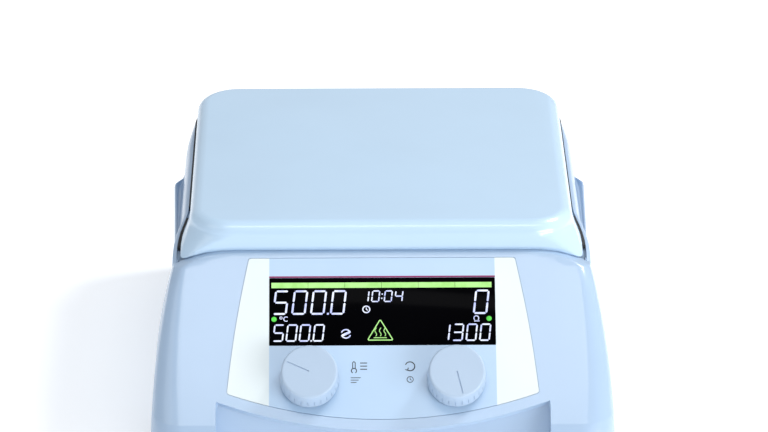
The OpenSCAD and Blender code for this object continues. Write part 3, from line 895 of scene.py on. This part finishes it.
def make_display_window():
    bm = prism(display_outline(-0.05, 0.5), panel_point, -WALL, 0.02)
    obj = new_object("display_window", bm, M["display_glass"], CHASSIS)
    add_bevel(obj, 0.08, 2, 30)
    apply_modifiers(obj)
    smooth_by_angle(obj, 30)
    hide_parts("display_lens")


SEGMENTS = {
    "0": "abcdef", "1": "bc", "2": "abged", "3": "abgcd", "4": "fgbc", "5": "afgcd",
    "6": "afgedc", "7": "abc", "8": "abcdefg", "9": "abcdfg",
}


def segment(name, width, height, bar):
    """One of the seven bars of a digit, as an outline with pointed ends."""
    half = bar / 2
    mid = height / 2
    gap = bar * 0.18
    places = {
        "a": ((0, 0), (width, 0)), "g": ((0, mid), (width, mid)), "d": ((0, height), (width, height)),
        "f": ((0, 0), (0, mid)), "e": ((0, mid), (0, height)),
        "b": ((width, 0), (width, mid)), "c": ((width, mid), (width, height)),
    }
    (x0, y0), (x1, y1) = places[name]
    if y0 == y1:
        x0, x1 = x0 + gap, x1 - gap
        return [(x0, y0), (x0 + half, y0 - half), (x1 - half, y0 - half), (x1, y0),
                (x1 - half, y0 + half), (x0 + half, y0 + half)]
    y0, y1 = y0 + gap, y1 - gap
    return [(x0, y0), (x0 + half, y0 + half), (x0 + half, y1 - half), (x0, y1),
            (x0 - half, y1 - half), (x0 - half, y0 + half)]


def digits(bm, text, left, top, size, pitch):
    """Slanted seven-bar digits on the display; left and top count from its upper left corner."""
    width, height, bar = size
    x = left
    for char in text:
        shapes = []
        if char == ".":
            x -= pitch * 0.10
            shapes.append(rectangle(-bar * 0.5, bar * 0.5, height - bar * 0.5, height + bar * 0.5))
            advance = pitch * 0.15
        elif char == ":":
            for at in (0.3, 0.7):
                shapes.append(rectangle(-bar * 0.5, bar * 0.5, height * at - bar * 0.5,
                                        height * at + bar * 0.5))
            x -= pitch * 0.08
            advance = pitch * 0.26
        else:
            shapes = [segment(s, width, height, bar) for s in SEGMENTS[char]]
            advance = pitch
        for shape in shapes:
            outline = [(x + a + (height - b) * DIGIT_SLANT - LCD_W / 2, LCD_V + top + b)
                       for a, b in shape]
            prism(outline, panel_point, 0.0, LIGHT_H, bm)
        x += advance


def stroke(bm, points, width, closed=False, low=0.0, high=LIGHT_H):
    """A line of even width along points (x, v) on the panel, as one flat closed band."""
    pts = [Vector(p) for p in points]
    count = len(pts)
    left, right = [], []
    for i, p in enumerate(pts):
        before = pts[(i - 1) % count] if closed or i > 0 else p
        after = pts[(i + 1) % count] if closed or i < count - 1 else p
        d0 = (p - before).normalized() if (p - before).length > 0 else (after - p).normalized()
        d1 = (after - p).normalized() if (after - p).length > 0 else d0
        normal = Vector((-(d0.y + d1.y), d0.x + d1.x))
        normal = normal.normalized() if normal.length > 0 else Vector((-d0.y, d0.x))
        reach = width / 2 / max(normal.dot(Vector((-d1.y, d1.x))), 0.35)
        left.append(p + normal * reach)
        right.append(p - normal * reach)
    if not closed:
        prism([tuple(p) for p in left + right[::-1]], panel_point, low, high, bm)
        return
    rings = []
    for line, h in ((left, low), (right, low), (right, high), (left, high)):
        rings.append([bm.verts.new(panel_point(p.x, p.y, h)) for p in line])
    for a, b in zip(rings, rings[1:] + rings[:1]):
        for i in range(count):
            j = (i + 1) % count
            bm.faces.new((a[i], a[j], b[j], b[i]))


def on_display(points):
    """Moves points (x, v) that count from the display's upper left corner onto the panel."""
    return [(x - LCD_W / 2, LCD_V + v) for x, v in points]


def make_white_lights():
    """Readings of temperature, time and speed, and small plain marks between them."""
    bm = bmesh.new()
    digits(bm, "500.0", 2.0, 7.0, BIG_DIGIT, 9.2)
    digits(bm, "10:04", 44.8, 7.0, CLOCK_DIGIT, 5.2)
    digits(bm, "0", 99.8, 7.0, BIG_DIGIT, 9.2)
    digits(bm, "500.0", 1.9, 24.6, SMALL_DIGIT, 6.4)
    digits(bm, "1300", 82.7, 24.6, SMALL_DIGIT, 6.6)
    # a degree mark with an open ring
    stroke(bm, on_display(circle(5.8, 20.9, 0.6, 12)), 0.35, True)
    stroke(bm, on_display(arc(8.3, 21.5, 1.15, 50, 310, 12)), 0.45)
    # a clock
    stroke(bm, on_display(circle(47.4, 16.6, 1.7)), 0.55, True)
    stroke(bm, on_display([(47.4, 15.6), (47.4, 16.6), (48.2, 17.1)]), 0.4)
    # a stirring bar between two arcs
    stroke(bm, on_display(arc(37.4, 29.4, 2.3, 200, 340, 10)), 0.6)
    stroke(bm, on_display(arc(37.4, 29.2, 2.3, 20, 160, 10)), 0.6)
    stroke(bm, on_display([(35.6, 30.2), (39.2, 28.4)]), 1.2)
    # a turning mark
    stroke(bm, on_display(arc(101.0, 21.4, 1.2, 130, 410, 12)), 0.45)
    stroke(bm, on_display([(99.9, 22.9), (102.6, 22.9)]), 0.45)
    new_object("display_digits", bm, M["digit_light"], CHASSIS)


def make_bar_lights():
    """Six level bars along the top, and a triangle with rising heat."""
    bm = bmesh.new()
    bar_pitch, bar_length = 17.95, 17.82
    for i in range(6):
        start = 1.1 + i * bar_pitch
        bar = on_display(rectangle(start, start + bar_length, 2.5, 5.3))
        prism(bar, panel_point, 0.0, LIGHT_H, bm)
    triangle = rounded(on_display([(47.9, 32.6), (60.3, 32.6), (54.1, 21.9)]), 0.5, 3)
    stroke(bm, triangle, 0.5, True)
    for x in (51.9, 54.1, 56.3):
        wave = [(x + 0.45 * math.sin(k * 0.9), 30.6 - k * 0.55) for k in range(9)]
        stroke(bm, on_display(wave), 0.35)
    stroke(bm, on_display([(50.9, 31.4), (57.3, 31.4)]), 0.4)
    new_object("display_bars", bm, M["bar_light"], CHASSIS)


def make_display_lights():
    """Everything lit on the display, and the printed line above it."""
    make_white_lights()
    make_bar_lights()
    green = bmesh.new()
    for x in (2.4, 107.2):
        prism(on_display(circle(x, 21.6, 1.3)), panel_point, 0.0, LIGHT_H, green)
    new_object("display_dots", green, M["dot_light"], CHASSIS)

    line = rectangle(-LCD_W / 2, LCD_W / 2, LCD_V - 0.85, LCD_V - 0.05)
    stripe = prism(line, panel_point, INK_LOW, INK_HIGH)
    new_object("display_stripe", stripe, M["stripe_ink"], CHASSIS)


def ink(bm, points, width, closed=False):
    """A printed line on the overlay."""
    stroke(bm, points, width, closed, INK_LOW, INK_HIGH)


def make_print():
    """Plain pictograms beside the knobs: a thermometer with lists, a turning arrow with a clock."""
    bm = bmesh.new()
    x, v = -14.0, 60.5
    # thermometer, with short lists beside and below it
    ink(bm, arc(x, v + 1.6, 1.25, 120, 420, 20), 0.45)
    tube = 0.62
    ink(bm, [(x - tube, v + 0.6), (x - tube, v - 2.6), (x, v - 3.2), (x + tube, v - 2.6),
             (x + tube, v + 0.6)], 0.4)
    for k in range(3):
        ink(bm, [(x + 3.0, v - 2.4 + k * 1.6), (x + 6.4, v - 2.4 + k * 1.6)], 0.45)
    for k in range(3):
        ink(bm, [(x - 1.6, v + 5.2 + k * 1.2), (x + 3.2 - k, v + 5.2 + k * 1.2)], 0.35)
    # turning arrow, with a clock below it
    x = 13.2
    ink(bm, arc(x, v - 0.6, 2.3, 200, 480, 24), 0.5)
    tip_x, tip_v = arc(x, v - 0.6, 2.3, 120, 121, 1)[0]
    ink(bm, [(tip_x - 1.2, tip_v - 0.3), (tip_x, tip_v), (tip_x + 0.3, tip_v - 1.3)], 0.45)
    ink(bm, circle(x, v + 6.2, 1.5), 0.35, True)
    ink(bm, [(x, v + 5.2), (x, v + 6.2), (x + 0.8, v + 6.6)], 0.3)
    new_object("panel_pictograms", bm, M["print_ink"], CHASSIS)


def knob_profile():
    """Radius and height of a knob's skin: down inside its hollow, then up its side to the cap."""
    top = KNOB_GAP + KNOB_H
    profile = [(9.0, top - 3.0), (9.0, KNOB_GAP + 0.4), (9.6, KNOB_GAP), (KNOB_R - 0.5, KNOB_GAP),
               (KNOB_R - 0.05, KNOB_GAP + 0.45), (KNOB_R - 0.12, KNOB_GAP + 2.0),
               (KNOB_R - 0.16, KNOB_GAP + 2.6), (KNOB_R - 0.32, KNOB_GAP + 6.0),
               (KNOB_R - 0.36, KNOB_GAP + 6.6), (KNOB_R - 0.6, top - 1.5)]
    for degrees in (15, 35, 55, 75, 90):
        a = math.radians(degrees)
        profile.append((KNOB_R - 1.7 + KNOB_ROUND * math.cos(a),
                        top - KNOB_ROUND + KNOB_ROUND * math.sin(a)))
    return profile


def knob_loop(x, r, w):
    """One level of a knob's skin, with notches low on its side."""
    notched = KNOB_GAP + 2.5 < w < KNOB_GAP + 6.1 and r > 12
    count = NOTCHES * NOTCH_STEPS
    loop = []
    for i in range(count):
        angle = 2 * math.pi * i / count
        reach = r - (NOTCH_DEPTH if notched and i % NOTCH_STEPS in (0, 1) else 0.0)
        loop.append(panel_point(x + reach * math.cos(angle), KNOB_V + reach * math.sin(angle), w))
    return loop


def pointer_groove(x, pointer):
    """Outline of the groove in a knob's cap, which points along an angle in degrees."""
    c, s = math.cos(math.radians(pointer)), math.sin(math.radians(pointer))
    return [(x + a * c - b * s, KNOB_V - a * s - b * c)
            for a, b in rectangle(0.2, KNOB_R - 2.4, -0.32, 0.32)]


def make_knob(x, name, pointer, body, node):
    """Tapered round knob with fine notches low on its side and a pointer groove in its cap."""
    bm = bmesh.new()
    cap(bm, skin(bm, [knob_loop(x, r, w) for r, w in knob_profile()]))
    obj = new_object(name, bm, M["knob_plastic"], body)
    top = KNOB_GAP + KNOB_H
    combine(obj, [cutter(prism(pointer_groove(x, pointer), panel_point, top - 0.45, top + 3))])
    tidy_mesh(obj, 0.01)
    smooth_by_angle(obj, 32)
    # the flat of the cap stays flat shaded
    normal = Vector((0, -math.sin(TILT), math.cos(TILT)))
    for polygon in obj.data.polygons:
        if polygon.normal.dot(normal) > 0.9995:
            polygon.use_smooth = False
    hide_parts(node)


# ---------------------------------------------------------------- build everything

make_cover()
make_gasket()
make_main_housing()
make_side_grip(-1, "side_grip_left")
make_side_grip(1, "side_grip_right")
make_console_shell()
make_flanges()
make_overlay()
make_display_window()
make_display_lights()
make_print()
make_knob(-KNOB_X, "temperature_knob", 155, "temp_turn", "temp_knob")
make_knob(KNOB_X, "stirring_knob", -77, "speed_turn", "speed_knob")


# ---------------------------------------------------------------- floor, light and camera

def make_floor():
    bm = bmesh.new()
    half = 6000
    bm.faces.new([bm.verts.new((x, y, 0)) for x, y in rectangle(-half, half, -half, half)])
    mat = grained("floor_paper", (0.96, 0.965, 0.97), 0.8, 120, 0.01, 0.004)
    paper = mat.node_tree.nodes["Principled BSDF"]
    paper.inputs["Emission Color"].default_value = (0.95, 0.97, 1.0, 1)
    paper.inputs["Emission Strength"].default_value = 0.30
    obj = new_object("floor", bm, mat, None)


def area_light(name, place, target, size, power):
    data = bpy.data.lights.new(name, "AREA")
    data.shape = "RECTANGLE"
    data.size, data.size_y = size
    data.energy = power
    obj = bpy.data.objects.new(name, data)
    obj.location = place
    obj.rotation_euler = (Vector(target) - Vector(place)).to_track_quat("-Z", "Y").to_euler()
    bpy.context.scene.collection.objects.link(obj)


def make_light():
    world = bpy.data.worlds.new("studio")
    bpy.context.scene.world = world
    world.use_nodes = True
    background = world.node_tree.nodes["Background"]
    background.inputs["Color"].default_value = (0.93, 0.96, 1.0, 1)
    background.inputs["Strength"].default_value = 0.52
    area_light("key", (0.8, 0.3, 1.2), (0, -0.05, 0.06), (0.3, 0.3), 10.5)
    area_light("front", (1.5, -1.6, 0.25), (0, -0.1, 0.06), (1.4, 0.4), 24.0)
    area_light("left", (-1.1, -0.5, 1.0), (0, -0.02, 0.06), (0.6, 0.6), 1.5)
    area_light("strip", (0.0, -0.75, 1.6), (0, -0.07, 0.1), (1.2, 0.25), 5.0)


def make_camera():
    """Looks down on the front from a little to the left, two metres away on a long lens."""
    data = bpy.data.cameras.new("camera")
    data.sensor_width = 36
    data.lens = 202
    data.clip_end = 50
    target = Vector((0.0012, -0.058, 0.110))
    height = math.radians(22.8)
    aside = math.radians(0.65)
    distance = 2.119
    level = distance * math.cos(height)
    obj = bpy.data.objects.new("camera", data)
    obj.location = target + Vector((-level * math.sin(aside), -level * math.cos(aside),
                                    distance * math.sin(height)))
    obj.rotation_euler = (target - obj.location).to_track_quat("-Z", "Y").to_euler()
    bpy.context.scene.collection.objects.link(obj)
    bpy.context.scene.camera = obj
    bpy.context.scene.view_settings.view_transform = "Standard"


make_floor()
make_light()
make_camera()
